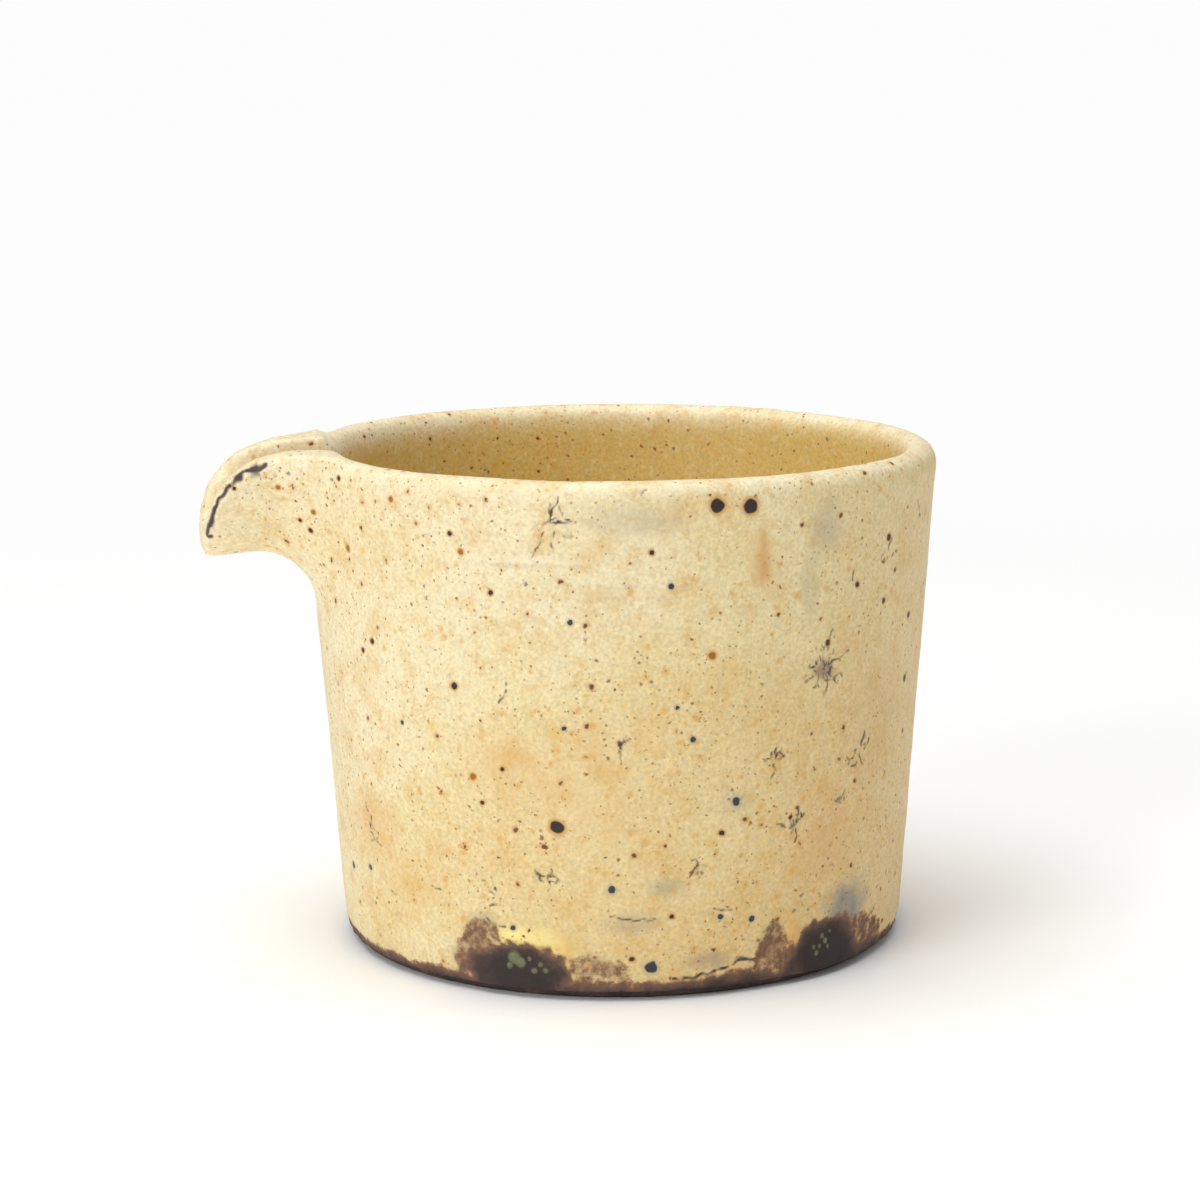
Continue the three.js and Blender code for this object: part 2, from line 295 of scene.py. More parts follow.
# %% Shaped by hand
SWELL, SWELL_SIZE = 0.16, 17  # millimetres up and down, and from lump to lump
WAVES, WAVES_SIZE = 0.06, 4.5
RINGS, RING_RISE = 0.035, 2.6
RIDGES = [  # turn, height, half width, half height, how high it stands
    (-120, 8.3, 5.6, 1.3, 0.6),
    (-112.3, 6.6, 1.4, 2.6, 0.45),
    (-126.8, 7.6, 1.3, 1.6, 0.35),
    (-66.4, 6.0, 1.1, 3.6, 0.5),
    (-59.5, 9.3, 3.2, 1.1, 0.3),
]
BEADS = [  # turn, height, half width: drops of glass in the bare patches
    (-122.5, 5.6, 1.0), (-121.2, 5.0, 0.8), (-123.6, 4.4, 0.5), (-118.4, 4.0, 0.45),
    (-117.2, 4.9, 0.35), (-116.2, 4.1, 0.4), (-119.4, 5.6, 0.35),
    (-58.4, 6.0, 0.4), (-57.5, 5.2, 0.45), (-58.9, 4.6, 0.35), (-59.8, 3.7, 0.4), (-56.2, 6.4, 0.3),
    (-56.8, 4.3, 0.3), (-60.6, 4.7, 0.3),
]

points = places(glaze)
height_above_bare = above_bare(points)
lift = SWELL * lumps(points, SWELL_SIZE, 0) + WAVES * lumps(points, WAVES_SIZE, 1)
ring_places = points * np.array([0.02, 0.02, 1])
lift += RINGS * lumps(ring_places, RING_RISE, 2)
lift -= 0.22 * fade(height_above_bare, -0.6, 0.5)
lift += 0.12 * lumps(points, 1.7, 8) * fade(height_above_bare, -0.4, 0.6)
for turn, height, half_width, half_height, stand in RIDGES:
    lift += stand * fade(oval(points, turn, height, half_width, half_height), 0.2, 1.3)
for turn, height, half_width in BEADS:
    lift += 0.3 * fade(oval(points, turn, height, half_width, half_width), 0.2, 1.2)
shaped = points + normals(glaze) * lift[:, None]
move(glaze, np.clip(shaped, np.array(cad_box[0]) / MM - PLUG_DEPTH / MM, np.array(cad_box[1]) / MM))
print("moved by", lift.min().round(2), "to", lift.max().round(2), "mm")

# %% [markdown]
# The form is cut open just above the table, so that the clay disc shows below it. Solidify then
# gives the skin its thickness inwards, and the inner side, which nobody sees, is thinned out.

# %% A thin shell, open at the foot
CUT_HEIGHT = 1.3 * MM
COAT_THICKNESS = 0.35 * MM
INNER_SHARE = 0.05

edit(glaze, "FACE")
bpy.ops.mesh.bisect(plane_co=(0, 0, CUT_HEIGHT), plane_no=(0, 0, 1), clear_inner=True)
bpy.ops.object.mode_set(mode="OBJECT")
for slot_name in ("outside", "inside"):
    glaze.data.materials.append(bpy.data.materials.new(slot_name))
modified(glaze, "SOLIDIFY", thickness=COAT_THICKNESS, offset=-1, material_offset=1)
slots = np.empty(len(glaze.data.polygons), dtype=np.int32)
glaze.data.polygons.foreach_get("material_index", slots)
edit(glaze, "FACE", slots == 1)
bpy.ops.mesh.decimate(ratio=INNER_SHARE)
bpy.ops.object.mode_set(mode="OBJECT")
print("shell:", len(glaze.data.polygons), "faces")

# %% [markdown]
# Cracks and iron spots are finer than the mesh, so the mesh is refined where they lie and only
# there. The crawled glaze has short hair cracks in stars and branches, and one long crack runs
# along the seam where the wall stands on its base. The iron spots are grains in the clay that
# bled through: near black with a rusty halo, or blue where they lie under thick glaze.

# %% Where the cracks and spots are
CRACKS = [  # each a run of (turn, height)
    [(-91.8, 2.9), (-88, 3.0), (-84.5, 3.3), (-79.5, 4.4), (-79, 5.0), (-73.4, 4.7)],
    [(-111.3, 69.5), (-112.9, 66.5), (-112, 63.9)],
    [(-114, 64.7), (-116.3, 61.3)],
    [(-112.5, 66), (-109.3, 66.5)],
    [(-112.9, 66.4), (-114.3, 65.9)],
    [(-110.3, 64.3), (-108.5, 64.4)],
    [(-65.7, 42.7), (-61.5, 44.4), (-55.2, 46.1)],
    [(-61.5, 44.4), (-57.9, 44)],
    [(-59.9, 50.2), (-60.5, 46.1), (-61.5, 44.4)],
    [(-61.5, 44.4), (-57.7, 42)],
    [(-63.5, 45.4), (-62.5, 42)],
    [(-71.1, 23.3), (-66.9, 22.7), (-64.7, 24.3)],
    [(-66.9, 22.7), (-67.7, 21)],
    [(-88.5, 17.5), (-86.8, 19), (-85.4, 20.3)],
    [(-86.8, 19), (-85.8, 17.8)],
    [(-102.9, 12), (-98.5, 11.5), (-95.2, 11.7)],
    [(-83.5, 12.6), (-80.4, 12)],
    [(-121.8, 44.6), (-121.5, 43.3), (-123, 41.2)],
    [(-70.5, 35.1), (-72.1, 33.7), (-71.3, 31.8), (-72.7, 30.1)],
    [(-72.1, 33.7), (-69.7, 32.8)],
    [(-158.6, 19.3), (-156.5, 18.8), (-154.4, 18)],
    [(-140.4, 14.2), (-137.3, 13.9)],
    [(-153.4, 11.9), (-150.9, 11.7)],
    [(-117.9, 17.9), (-115.1, 18.1), (-115, 15.5)],
    [(-126.5, 16.9), (-126.3, 15.8), (-127.1, 14.7), (-125.8, 14.5)],
    [(-127, 12.7), (-125.2, 13.1)],
    [(-33.6, 64.7), (-31.5, 62.3)],
    [(-55.4, 57.3), (-55.2, 55.8)],
    [(-102.2, 37.5), (-101, 36.1), (-101.7, 35.2)],
    [(-101, 36.1), (-99.2, 37.1)],
    [(-95.1, 70.6), (-96.8, 70.2), (-97.3, 69.6)],
]
STARS = [  # turn, height, reach in mm, arms
    (-112.4, 66.2, 2.6, 5),
    (-61.5, 44.4, 3.3, 11),
    (-71.9, 32.6, 2.2, 6),
    (-66.9, 22.9, 2.2, 6),
    (-86.8, 18.9, 1.6, 4),
    (-101, 36, 1.8, 5),
    (-115.3, 17.2, 1.8, 5),
    (-126.6, 15.3, 1.6, 4),
    (-50.4, 31.3, 2.6, 8),
    (-55.8, 25, 1.6, 4),
    (-157, 19.6, 2.2, 5),
    (-64.9, 11.2, 1.6, 4),
    (-127, 9.5, 2.0, 5),
    (-45, 58.5, 2.2, 4),
    # The side that the photograph doesn't show
    (40, 58, 2.6, 6),
    (91, 29, 2.8, 8),
    (133, 47, 2.4, 7),
    (18, 18, 2.4, 6),
    (66, 9, 1.8, 5),
    (112, 62, 2.2, 6),
    (165, 14, 2.4, 6),
    (-14, 30, 2.0, 6),
]
SPOTS = [  # turn, height, half width, kind
    (-84.3, 68.1, 0.85, "iron"), (-78.2, 67.6, 0.95, "iron"), (-113.1, 24.5, 0.85, "iron"),
    (-95.8, 4.8, 0.8, "blue"), (-99.4, 6.1, 0.35, "iron"), (-132, 43.2, 0.45, "iron"),
    (-123.9, 56.4, 0.35, "iron"), (-129.2, 61.7, 0.4, "rust"), (-131.2, 64.1, 0.35, "iron"),
    (-95.6, 62.1, 0.35, "iron"), (-84.8, 47.8, 0.5, "rust"), (-82.4, 23.2, 0.4, "iron"),
    (-129.2, 30.8, 0.45, "rust"), (-127.6, 27.2, 0.32, "iron"), (-123.2, 32.2, 0.32, "iron"),
    (-151.9, 47.5, 0.4, "iron"), (-155.2, 45.9, 0.35, "iron"), (-91.8, 11.9, 0.35, "iron"),
    (-92.2, 57.5, 0.42, "blue"), (-109.7, 52.8, 0.38, "blue"), (-91, 41, 0.32, "blue"),
    (-88, 36.5, 0.42, "blue"), (-79.6, 27.4, 0.55, "blue"), (-103.2, 15.9, 0.5, "blue"),
    (-122.3, 9.9, 0.4, "blue"), (-169.4, 12.8, 0.55, "blue"), (-160.2, 14.1, 0.42, "blue"),
    (-82.2, 11.3, 0.42, "blue"), (-75.8, 10.5, 0.45, "blue"), (-145, 36.9, 0.35, "blue"),
    (-111.3, 38.3, 0.32, "blue"), (-45.2, 60.8, 0.45, "iron"), (-45.4, 52, 0.4, "iron"),
    (-33.9, 48.5, 0.45, "iron"), (-33.5, 39.4, 0.5, "iron"), (-60.8, 47.8, 0.45, "iron"),
    (-54, 55.2, 0.4, "iron"), (-67.9, 24.1, 0.32, "iron"),
    # The side that the photograph doesn't show
    (12, 44, 0.7, "iron"), (31, 22, 0.45, "blue"), (52, 63, 0.5, "iron"), (70, 38, 0.85, "iron"),
    (84, 54, 0.4, "rust"), (103, 18, 0.5, "blue"), (118, 60, 0.75, "iron"), (127, 33, 0.4, "blue"),
    (149, 25, 0.6, "iron"), (160, 52, 0.45, "rust"), (-12, 57, 0.5, "iron"), (-8, 15, 0.45, "blue"),
]
SPOUT_SPOTS = [  # x, height, half width, kind
    (-49.8, 67.7, 0.34, "rust"), (-46.9, 63.1, 0.3, "iron"), (-45.5, 61.7, 0.38, "iron"),
    (-55.7, 67.6, 0.28, "iron"), (-45.2, 64.4, 0.36, "rust"), (-41.1, 59.9, 0.42, "rust"),
    (-42.1, 69.6, 0.35, "iron"), (-36.3, 67.9, 0.36, "rust"),
]
SPOUT_ARRIS = [(-51.4, 70.6), (-53.9, 69.9), (-56.6, 67.8), (-58.5, 64.7), (-59.6, 61), (-60, 59.3)]

chance = np.random.default_rng(7)
for turn, height, reach, arms in STARS:
    for arm in range(arms):
        away = (arm + chance.uniform(-0.45, 0.45)) * math.tau / arms
        start = reach * chance.uniform(0, 0.4)
        run = [(turn + math.degrees(start * math.cos(away) / 43), height + start * math.sin(away))]
        for step in range(4):
            away += chance.uniform(-1.0, 1.0)
            length = reach * chance.uniform(0.12, 0.32)
            degrees = math.degrees(length * math.cos(away) / 43)
            run.append((run[-1][0] + degrees, run[-1][1] + length * math.sin(away)))
        CRACKS.append(run)
crack_lines = [np.array([on_wall(*place) for place in run]) for run in CRACKS]
arris_line = np.array([on_spout(*place) for place in SPOUT_ARRIS])
spots = [(on_wall(turn, height), size, kind) for turn, height, size, kind in SPOTS]
spots += [(on_spout(x, height), size, kind) for x, height, size, kind in SPOUT_SPOTS]
print(len(crack_lines), "cracks and", len(spots), "spots")

# %% [markdown]
# Only the faces within a millimetre of a mark are divided, so the whole coat stays light.

# %% A finer mesh under them
FINE_REACH = 0.75  # millimetres round each mark


def from_line(points, line):
    nearest = np.full(len(points), 1e9)
    for a, b in zip(line[:-1], line[1:]):
        along = np.clip((points - a) @ (b - a) / ((b - a) @ (b - a)), 0, 1)
        nearest = np.minimum(nearest, np.linalg.norm(points - a - along[:, None] * (b - a), axis=1))
    return nearest


def from_marks(points):
    nearest = np.min([from_line(points, line) for line in crack_lines + [arris_line]], axis=0)
    for place, size, kind in spots:
        nearest = np.minimum(nearest, np.linalg.norm(points - place, axis=1) - size)
    for turn, height, half_width in BEADS:
        away = np.linalg.norm(points - on_wall(turn, height), axis=1)
        nearest = np.minimum(nearest, away - half_width)
    return nearest


centres = np.empty(len(glaze.data.polygons) * 3)
glaze.data.polygons.foreach_get("center", centres)
slots = np.empty(len(glaze.data.polygons), dtype=np.int32)
glaze.data.polygons.foreach_get("material_index", slots)
edit(glaze, "FACE", (from_marks(centres.reshape(-1, 3) / MM) < FINE_REACH) & (slots == 0))
bpy.ops.mesh.subdivide(number_cuts=3)
bpy.ops.object.mode_set(mode="OBJECT")
triangles = sum(len(face.vertices) - 2 for face in glaze.data.polygons)
print("glaze:", len(glaze.data.polygons), "faces,", triangles, "triangles")

# %% [markdown]
# Every mark becomes an attribute on the points of the skin, which the material reads. The cracks
# are also cut into the mesh as small grooves, and the spots as shallow pits.

# %% Marks as attributes
CRACK_WIDTH = 0.15
STAINS = [  # turn, height, half width, half height, colour, strength
    (-75.3, 60.5, 2.4, 6.5, "#dfb872", 0.55),
    (-75.3, 60.3, 1.1, 4.8, "#c98d4e", 0.6),
    (-99, 66.4, 9, 2.6, "#b5a88c", 0.4),
    (-62, 64.2, 3.4, 4.2, "#a69d8b", 0.45),
    (-65.5, 56, 2.2, 7, "#b5a88c", 0.35),
    (-92.8, 16, 3.4, 1.7, "#9f977c", 0.55),
    (-80, 27.5, 3.2, 2.4, "#a9a38c", 0.3),
    (-156.5, 20.7, 7, 5.5, "#dca257", 0.45),
    (-147, 13, 8, 5, "#dfb367", 0.35),
    (-110, 31, 11, 9, "#dcae67", 0.3),
    (-124, 33, 7, 6, "#dba75f", 0.28),
    (-58, 20, 8, 9, "#dba362", 0.35),
    (-45, 35, 7, 12, "#cf9f66", 0.25),
    (-51.5, 9.2, 5.6, 4.4, "#8e8b81", 0.95),
    (-117, 61, 11, 0.7, "#f7ead0", 0.5),
    (-101, 56.7, 13, 0.7, "#dcba78", 0.5),
    (-61.5, 44.2, 2.2, 2.0, "#7b635c", 0.65),
    (-128.8, 8.6, 2.9, 3.6, "#84695b", 0.7),
    (-133, 5.2, 3.2, 2.2, "#7d5f50", 0.6),
    (-119.8, 8.6, 6.4, 1.8, "#f5e08f", 0.9),
    (-112.4, 6.4, 1.9, 3.2, "#ecc870", 0.75),
    (-106, 4.6, 3.2, 2.0, "#9a826f", 0.6),
    (-84.5, 5.4, 3.8, 1.4, "#9c8674", 0.6),
    (-71.3, 6.2, 2.0, 3.2, "#84695b", 0.7),
    (-66.4, 6.0, 1.4, 4.2, "#e9b163", 0.85),
    (-99, 11.0, 4.6, 1.6, "#a8937d", 0.45),
    (40, 22, 8, 7, "#dca257", 0.4),
    (115, 12, 9, 5, "#dfb367", 0.4),
    (75, 62, 7, 3, "#b5a88c", 0.4),
    (150, 60, 4, 6, "#dfb872", 0.4),
]


def linear(hex_colour):
    channels = [int(hex_colour[i:i + 2], 16) / 255 for i in (1, 3, 5)]
    return [c / 12.92 if c <= 0.04045 else ((c + 0.055) / 1.055) ** 2.4 for c in channels] + [1]


def store(piece, name, values):
    kind = "FLOAT_COLOR" if values.ndim == 2 else "FLOAT"
    attribute = piece.data.attributes.new(name, kind, "POINT")
    key = "color" if values.ndim == 2 else "value"
    attribute.data.foreach_set(key, values.astype(np.float32).ravel())


points = places(glaze)
jagged = points + 0.45 * np.array([noise.noise_vector(Vector(p) / 1.3) for p in points])
crack = np.max([fade(from_line(jagged, line), 0.3 * CRACK_WIDTH, CRACK_WIDTH * 1.5)
                for line in crack_lines], axis=0)
crack *= 0.6 + 0.4 * fade(lumps(points, 1.6, 12), 0, -0.4)
crack = np.maximum(crack, fade(from_line(jagged, crack_lines[0]), 0.12, 0.34))
arris = fade(from_line(jagged, arris_line) + 0.2 * lumps(points, 1.8, 14), 0.28, 0.62)
marks = {"iron": np.zeros(len(points)), "rust": np.zeros(len(points)), "blue": np.zeros(len(points))}
for place, size, kind in spots:
    reach = np.linalg.norm(points + 0.7 * min(1, size) * (jagged - points) - place, axis=1) / size
    marks[kind] = np.maximum(marks[kind], np.clip(2 - reach, 0, 1))
# The inside of the wall below the rim. It keeps the stains outside, and the glaze paints shade and warm
# bounce light there.
across = np.hypot(points[:, 0], points[:, 1])
depth_in_wall = 40.2 + 4.9 * points[:, 2] / 70.7 - across
inside = fade(depth_in_wall, 3.4, 2.0) * fade(points[:, 2], 66.5, 70)
stain = np.zeros((len(points), 4))
for turn, height, half_width, half_height, colour, strength in STAINS:
    share = strength * fade(oval(points, turn, height, half_width, half_height)
                            + 0.25 * lumps(points, 2.2, turn), 0.25, 1.25) * (1 - inside)
    stain[:, :3] += (np.array(linear(colour)[:3]) - stain[:, :3]) * (share / np.maximum(
        share + stain[:, 3] * (1 - share), 1e-6))[:, None]
    stain[:, 3] = share + stain[:, 3] * (1 - share)
glass = np.max([fade(oval(points, turn, height, size, size), 0.5, 1.2) for turn, height, size in BEADS],
               axis=0)
# How far the glaze goes from pale towards ochre. Partly its own tone, in random lumps and deeper low on the
# wall; partly painted light: the left side is painted paler and the right side and lower wall darker, as
# the lamps fall. The spout is left pale.
ochre_and_painted_light = 0.48 + 0.38 * points[:, 0] / 44 - 0.3 * (points[:, 2] - 35) / 35
ochre_and_painted_light = np.clip(ochre_and_painted_light + 0.25 * lumps(points, 15, 21), 0, 1) * (1 - fade(points[:, 0], -50, -44))
# A painted highlight: the rim, above about 68.5 mm, is made paler.
ochre_and_painted_light -= (0.25 + 0.6 * ochre_and_painted_light) * fade(points[:, 2], 71, 68.5)
pits = 0.10 * crack + 0.05 * fade(marks["iron"] + marks["blue"], 1, 0.5) + 0.12 * arris
move(glaze, points - normals(glaze) * pits[:, None])
store(glaze, "above_bare", above_bare(points))
store(glaze, "crack", np.maximum(crack, arris))
store(glaze, "glass", glass)
store(glaze, "inside", inside)
store(glaze, "ochre_and_painted_light", ochre_and_painted_light)
store(glaze, "stain", np.column_stack([stain[:, :3], np.ones(len(points))]))
store(glaze, "stain_share", stain[:, 3])
for kind, values in marks.items():
    store(glaze, kind, values)
print("attributes:", [a.name for a in glaze.data.attributes if not a.is_internal])

# %% [markdown]
# The glaze is kohiki: white slip under a thin clear ash glaze, fired over iron clay. It gives a
# warm cream with a satin shine, ochre where it is thin and pink-grey where it is thick. The
# pattern is built in real millimetres: the object's own coordinates are multiplied by a thousand,
# so a noise scale of 1/25 is a cloud 25 mm wide. Pepper specks are Voronoi cells, of which only
# some show their dot.

# %% A helper for nodes
def add(tree, kind, inputs=None, stops=(), **settings):
    """Adds a node. An input is a number, a colour or another node's output."""
    node = tree.nodes.new(kind)
    for key, value in settings.items():
        setattr(node, key, value)
    for key, value in (inputs or {}).items():
        if isinstance(value, bpy.types.NodeSocket):
            tree.links.new(value, node.inputs[key])
        else:
            node.inputs[key].default_value = value
    for number, (place, colour) in enumerate(stops):
        ramp = node.color_ramp.elements
        stop = ramp[number] if number < 2 else ramp.new(place)
        stop.position = place
        stop.color = linear(colour)
    return node


def new_material(name):
    material = bpy.data.materials.new(name)
    material.use_nodes = True
    tree = material.node_tree
    tree.nodes.clear()
    place = add(tree, "ShaderNodeTexCoord").outputs["Object"]
    millimetres = add(tree, "ShaderNodeVectorMath", {0: place, 1: (1 / MM,) * 3}, operation="MULTIPLY")
    return material, tree, millimetres.outputs[0]


print("one helper for every node")

# %% [markdown]
# The colour is laid as the pot got it: the slip's cream first, ochre where the glaze is thin and milky
# where it is thick, then stains, specks, spots and cracks, and the bare clay over all. Painted light goes
# in with the cream: a painted highlight on the rim, the left side painted paler, the right side and lower
# wall darker, and painted shade inside.

# %% The glaze
CREAM, PALE, OCHRE, HONEY = "#e9d6a1", "#f1e3bc", "#e2c68a", "#d9ac56"
# Painted shade and warm bounce light: the inside of the jug is made darker and more ochre than the outside.
INSIDE_PAINTED_SHADE = "#d9bc6f"
SPECK_LAYERS = [  # cell in mm, dot radius in mm, share shown, dot colour, strength, where it is full
    (5.2, 1.2, 0.45, "#e0b548", 0.6, 0.0),
    (2.3, 0.6, 0.5, "#dc9f3c", 0.75, 0.0),
    (3.0, 0.7, 0.5, "#cf8f3c", 0.7, 0.1),
    (0.8, 0.17, 0.6, "#a5681f", 0.7, 0.5),
    (1.4, 0.24, 0.5, "#8f5316", 0.85, 0.5),
    (3.0, 0.34, 0.5, "#54290a", 0.92, 0.6),
    (6.0, 0.36, 0.5, "#565a62", 0.8, 0.4),
]


def speckled(tree, place, crowd, colour, height, layer):
    cell, radius, share, dot_colour, strength, full = layer
    cells = add(tree, "ShaderNodeTexVoronoi", {"Vector": place, "Scale": 1 / cell, "Randomness": 1.0})
    split = add(tree, "ShaderNodeSeparateColor", {0: cells.outputs["Color"]})
    size = add(tree, "ShaderNodeMapRange", {
        0: split.outputs[0], 3: 0.45 * radius / cell, 4: 1.25 * radius / cell})
    dot = add(tree, "ShaderNodeMath", {
        0: cells.outputs["Distance"], 1: size.outputs[0]}, operation="DIVIDE")
    dot = add(tree, "ShaderNodeMapRange", {
        0: dot.outputs[0], 1: 1.2, 2: full, 3: 0.0, 4: strength}, interpolation_type="SMOOTHSTEP")
    limit = add(tree, "ShaderNodeMath", {0: crowd, 1: share}, operation="MULTIPLY")
    shown = add(tree, "ShaderNodeMath", {0: split.outputs[1], 1: limit.outputs[0]}, operation="LESS_THAN")
    dot = add(tree, "ShaderNodeMath", {0: dot.outputs[0], 1: shown.outputs[0]}, operation="MULTIPLY")
    colour = add(tree, "ShaderNodeMix", {0: dot.outputs[0], 6: colour, 7: linear(dot_colour)},
                 data_type="RGBA").outputs[2]
    height = add(tree, "ShaderNodeMath", {
        0: dot.outputs[0], 1: -0.03, 2: height}, operation="MULTIPLY_ADD").outputs[0]
    return colour, height


def kohiki_glaze():
    material, tree, place = new_material("kohiki_glaze")
    cloud = add(tree, "ShaderNodeTexNoise", {"Vector": place, "Scale": 1 / 24, "Detail": 4.0})
    patch = add(tree, "ShaderNodeTexNoise", {"Vector": place, "Scale": 1 / 5, "Detail": 4.0,
                                             "Roughness": 0.6})
    grain = add(tree, "ShaderNodeTexNoise", {"Vector": place, "Scale": 1 / 0.5, "Detail": 3.0})
    crowd = add(tree, "ShaderNodeMapRange", {0: cloud.outputs[0], 1: 0.35, 2: 0.65, 3: 0.35, 4: 1.7})
    # The tone attribute: the glaze's own ochre mixed with painted light, a paler left side, a darker right
    # side and lower wall, and a painted highlight on the rim.
    ochre_and_painted_light = add(tree, "ShaderNodeAttribute", attribute_name="ochre_and_painted_light").outputs["Fac"]
    hue = add(tree, "ShaderNodeMath", {0: cloud.outputs[0], 1: 0.8, 2: ochre_and_painted_light}, operation="MULTIPLY_ADD")
    hue = add(tree, "ShaderNodeMapRange", {0: hue.outputs[0], 1: 0.1, 2: 1.3})
    colour = add(tree, "ShaderNodeValToRGB", {0: hue.outputs[0]},
                 stops=((0.2, PALE), (0.85, OCHRE), (0.5, CREAM))).outputs[0]
    # Painted shade and warm bounce light: the inside of the jug below the rim gets a darker, more ochre
    # colour.
    inside = add(tree, "ShaderNodeAttribute", attribute_name="inside").outputs["Fac"]
    colour = add(tree, "ShaderNodeMix", {0: inside, 6: colour, 7: linear(INSIDE_PAINTED_SHADE)},
                 data_type="RGBA").outputs[2]
    mottle = add(tree, "ShaderNodeTexNoise", {"Vector": place, "Scale": 1 / 1.6, "Detail": 5.0,
                                              "Roughness": 0.7})
    for cloudy, start, share in ((patch, 0.48, 0.65), (mottle, 0.52, 0.75)):
        thin = add(tree, "ShaderNodeMapRange", {0: cloudy.outputs[0], 1: start, 2: 0.8, 4: share})
        colour = add(tree, "ShaderNodeMix", {0: thin.outputs[0], 6: colour, 7: linear(HONEY)},
                     data_type="RGBA").outputs[2]
    milky = add(tree, "ShaderNodeMapRange", {0: mottle.outputs[0], 1: 0.45, 2: 0.25, 4: 0.5})
    colour = add(tree, "ShaderNodeMix", {0: milky.outputs[0], 6: colour, 7: linear(PALE)},
                 data_type="RGBA").outputs[2]
    fine = add(tree, "ShaderNodeMapRange", {0: grain.outputs[0], 1: 0.3, 2: 0.7, 3: 0.86, 4: 1.1})
    colour = add(tree, "ShaderNodeVectorMath", {0: colour, 1: fine.outputs[0]},
                 operation="MULTIPLY").outputs[0]
    height = add(tree, "ShaderNodeMath", {0: patch.outputs[0], 1: 0.03}, operation="MULTIPLY").outputs[0]
    height = add(tree, "ShaderNodeMath", {
        0: grain.outputs[0], 1: 0.012, 2: height}, operation="MULTIPLY_ADD").outputs[0]

    stain = add(tree, "ShaderNodeAttribute", attribute_name="stain")
    stain_share = add(tree, "ShaderNodeAttribute", attribute_name="stain_share")
    smudge = add(tree, "ShaderNodeMapRange", {0: patch.outputs[0], 1: 0.25, 2: 0.65, 3: 0.6, 4: 1.2})
    smudge = add(tree, "ShaderNodeMath", {0: stain_share.outputs["Fac"], 1: smudge.outputs[0]},
                 operation="MULTIPLY", use_clamp=True)
    colour = add(tree, "ShaderNodeMix", {0: smudge.outputs[0], 6: colour, 7: stain.outputs["Color"]},
                 data_type="RGBA").outputs[2]
    shake = add(tree, "ShaderNodeTexNoise", {"Vector": place, "Scale": 1 / 0.7, "Detail": 2.0})
    shake = add(tree, "ShaderNodeVectorMath", {0: shake.outputs["Color"], 1: (0.5,) * 3},
                operation="SUBTRACT").outputs[0]
    shaken = add(tree, "ShaderNodeVectorMath", {0: shake, 1: (0.7,) * 3, 2: place},
                 operation="MULTIPLY_ADD").outputs[0]
    for layer in SPECK_LAYERS:
        colour, height = speckled(tree, shaken, crowd.outputs[0], colour, height, layer)

    for kind, halo, halo_share, core in (("rust", "#d89a3a", 0.85, "#9c6224"),
                                         ("iron", "#c98a3c", 0.75, "#26150f"),
                                         ("blue", "#b7a988", 0.6, "#2c2f38")):
        mark = add(tree, "ShaderNodeAttribute", attribute_name=kind).outputs["Fac"]
        bleed = add(tree, "ShaderNodeMapRange", {0: mark, 1: 0.0, 2: 0.9, 4: halo_share},
                    interpolation_type="SMOOTHSTEP")
        colour = add(tree, "ShaderNodeMix", {0: bleed.outputs[0], 6: colour, 7: linear(halo)},
                     data_type="RGBA").outputs[2]
        heart = add(tree, "ShaderNodeMapRange", {0: mark, 1: 0.8, 2: 1.0}, interpolation_type="SMOOTHSTEP")
        colour = add(tree, "ShaderNodeMix", {0: heart.outputs[0], 6: colour, 7: linear(core)},
                     data_type="RGBA").outputs[2]
    crack = add(tree, "ShaderNodeAttribute", attribute_name="crack").outputs["Fac"]
    colour = add(tree, "ShaderNodeMix", {0: crack, 6: colour, 7: linear("#43322e")},
                 data_type="RGBA").outputs[2]

    above = add(tree, "ShaderNodeAttribute", attribute_name="above_bare").outputs["Fac"]
    ragged = add(tree, "ShaderNodeTexNoise", {"Vector": place, "Scale": 1 / 1.4, "Detail": 5.0,
                                              "Roughness": 0.65})
    edge = add(tree, "ShaderNodeMath", {0: ragged.outputs[0], 1: 2.4, 2: -1.2}, operation="MULTIPLY_ADD")
    edge = add(tree, "ShaderNodeMath", {0: edge.outputs[0], 1: above}, operation="ADD").outputs[0]
    bare_place = add(tree, "ShaderNodeMapRange", {0: edge, 1: -2.0, 2: 1.0})
    bare = add(tree, "ShaderNodeValToRGB", {0: bare_place.outputs[0]},
               stops=((0.0, "#3a302d"), (1.0, "#c79a62"), (0.35, "#4c3d38"), (0.6, "#6d5449"),
                      (0.82, "#94694a"))).outputs[0]
    glazed = add(tree, "ShaderNodeMapRange", {0: edge, 1: 0.1, 2: 0.9}, interpolation_type="SMOOTHSTEP")
    colour = add(tree, "ShaderNodeMix", {0: glazed.outputs[0], 6: bare, 7: colour},
                 data_type="RGBA").outputs[2]
    glass = add(tree, "ShaderNodeAttribute", attribute_name="glass").outputs["Fac"]
    colour = add(tree, "ShaderNodeMix", {0: glass, 6: colour, 7: linear("#71744f")},
                 data_type="RGBA").outputs[2]
    rough = add(tree, "ShaderNodeMapRange", {0: glazed.outputs[0], 3: 0.85, 4: 0.42})
    shine = add(tree, "ShaderNodeMath", {0: grain.outputs[0], 1: 0.12, 2: rough.outputs[0]},
                operation="MULTIPLY_ADD")
    rough = add(tree, "ShaderNodeMix", {0: glass, 2: shine.outputs[0], 3: 0.12}, data_type="FLOAT")
    clay_height = add(tree, "ShaderNodeMath", {0: ragged.outputs[0], 1: 0.35}, operation="MULTIPLY")
    height = add(tree, "ShaderNodeMath", {0: height, 1: 0.25}, operation="ADD").outputs[0]
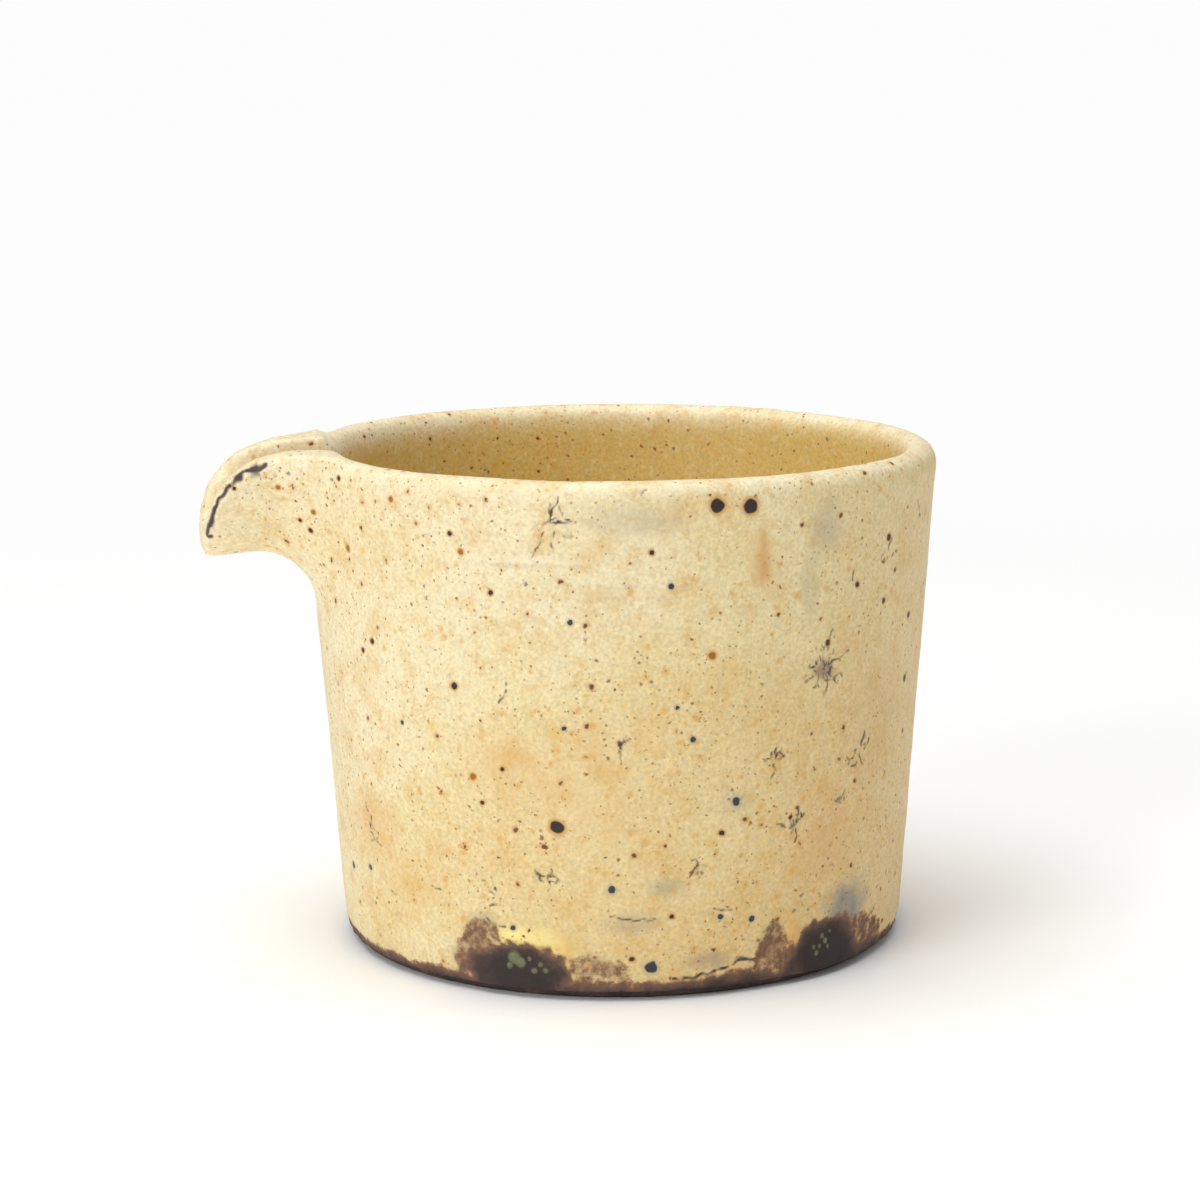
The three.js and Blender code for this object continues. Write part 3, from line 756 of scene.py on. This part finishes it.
    height = add(tree, "ShaderNodeMix", {0: glazed.outputs[0], 2: clay_height.outputs[0], 3: height},
                 data_type="FLOAT").outputs[0]
    bump = add(tree, "ShaderNodeBump", {"Strength": 1.0, "Distance": MM, "Height": height})
    shader = add(tree, "ShaderNodeBsdfPrincipled", {
        "Base Color": colour, "Roughness": rough.outputs[0], "Normal": bump.outputs[0], "IOR": 1.5})
    add(tree, "ShaderNodeOutputMaterial", {0: shader.outputs[0]})
    return material


# %% [markdown]
# The bare clay is an iron-rich stoneware. It fires to a dry purple-brown, nearly black where the
# flame touched it, with sand that stands a little proud.

# %% The bare clay
def iron_stoneware():
    material, tree, place = new_material("iron_stoneware")
    blush = add(tree, "ShaderNodeTexNoise", {"Vector": place, "Scale": 1 / 6, "Detail": 5.0})
    sand = add(tree, "ShaderNodeTexNoise", {"Vector": place, "Scale": 1 / 0.5, "Detail": 4.0})
    colour = add(tree, "ShaderNodeValToRGB", {0: blush.outputs[0]},
                 stops=((0.3, "#362c29"), (0.75, "#6a5044"), (0.55, "#4b3b36"))).outputs[0]
    fine = add(tree, "ShaderNodeMapRange", {0: sand.outputs[0], 1: 0.3, 2: 0.7, 3: 0.7, 4: 1.3})
    colour = add(tree, "ShaderNodeVectorMath", {0: colour, 1: fine.outputs[0]}, operation="MULTIPLY")
    bump = add(tree, "ShaderNodeBump", {"Strength": 1.0, "Distance": 0.25 * MM, "Height": sand.outputs[0]})
    shader = add(tree, "ShaderNodeBsdfPrincipled", {
        "Base Color": colour.outputs[0], "Roughness": 0.9, "Normal": bump.outputs[0]})
    add(tree, "ShaderNodeOutputMaterial", {0: shader.outputs[0]})
    return material


# %% [markdown]
# The five clay pieces get the stoneware and the coat gets the glaze. The clay is seen only as the
# dark disc under the coat, because the coat carries its own band of bare clay above the foot.

# %% Finishes on the pieces
clay = iron_stoneware()
for name in CLAY_NODES:
    for slot in frame["nodes"][name].material_slots:
        slot.material = clay
glaze.data.materials.clear()
glaze.data.materials.append(kohiki_glaze())
glaze.data.polygons.foreach_set("material_index", np.zeros(len(glaze.data.polygons), dtype=np.int32))
edit(glaze, "FACE")
bpy.ops.object.mode_set(mode="OBJECT")
bpy.ops.object.shade_smooth_by_angle(angle=math.radians(60))
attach(glaze, "root")
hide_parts("glaze_coat")
print("finishes:", clay.name, "and", glaze.material_slots[0].material.name)

# %% [markdown]
# A pale floor and soft light, as in a small product studio: a large lamp overhead, a softer one
# from the left front and a weak one from the right. The camera sees the world as plain white.

# %% Floor, lamps and world
bpy.ops.object.select_all(action="DESELECT")
bpy.ops.mesh.primitive_plane_add(size=6)
floor = bpy.context.object
floor.name = "floor"
FLOOR_CLEAR = (150, 430)  # from here to there the floor fades to plain white
floor_material, tree, place = new_material("pale_floor")
away = add(tree, "ShaderNodeVectorMath", {0: place}, operation="LENGTH")
fading = add(tree, "ShaderNodeMapRange", {0: away.outputs["Value"], 1: FLOOR_CLEAR[0], 2: FLOOR_CLEAR[1]},
             interpolation_type="SMOOTHSTEP")
path = add(tree, "ShaderNodeLightPath")
seen = add(tree, "ShaderNodeMath", {0: fading.outputs[0], 1: path.outputs["Is Camera Ray"]},
           operation="MULTIPLY")
paper = add(tree, "ShaderNodeBsdfDiffuse", {0: linear("#fcfcfb")})
white = add(tree, "ShaderNodeEmission", {0: linear("#fdfdfd"), 1: 1.0})
blend = add(tree, "ShaderNodeMixShader", {0: seen.outputs[0], 1: paper.outputs[0], 2: white.outputs[0]})
add(tree, "ShaderNodeOutputMaterial", {0: blend.outputs[0]})
floor.data.materials.append(floor_material)

LAMPS = [  # name, place in metres, aimed at, side length in metres, watts
    ("overhead", (-0.15, 0.0, 1.1), (0, 0, 0.05), 1.1, 10.2),
    ("left_front", (-0.9, -0.7, 0.5), (0, 0, 0.04), 0.6, 5.1),
    ("right", (0.9, -0.2, 0.5), (0, 0, 0.04), 0.6, 0.5),
]
for name, spot, target, side, watts in LAMPS:
    lamp_data = bpy.data.lights.new(name, "AREA")
    lamp_data.size = side
    lamp_data.energy = watts
    lamp = bpy.data.objects.new(name, lamp_data)
    bpy.context.scene.collection.objects.link(lamp)
    lamp.location = spot
    lamp.rotation_euler = (Vector(target) - Vector(spot)).to_track_quat("-Z", "Y").to_euler()

world = bpy.data.worlds.new("studio")
bpy.context.scene.world = world
world.use_nodes = True
tree = world.node_tree
tree.nodes.clear()
path = add(tree, "ShaderNodeLightPath")
room = add(tree, "ShaderNodeBackground", {0: (1, 1, 1, 1), 1: 0.36})
sheet = add(tree, "ShaderNodeBackground", {0: (1, 1, 1, 1), 1: 0.98})
blend = add(tree, "ShaderNodeMixShader", {
    0: path.outputs["Is Camera Ray"], 1: room.outputs[0], 2: sheet.outputs[0]})
add(tree, "ShaderNodeOutputWorld", {0: blend.outputs[0]})
bpy.context.scene.view_settings.view_transform = "Standard"
print("lamps:", [name for name, *_ in LAMPS])
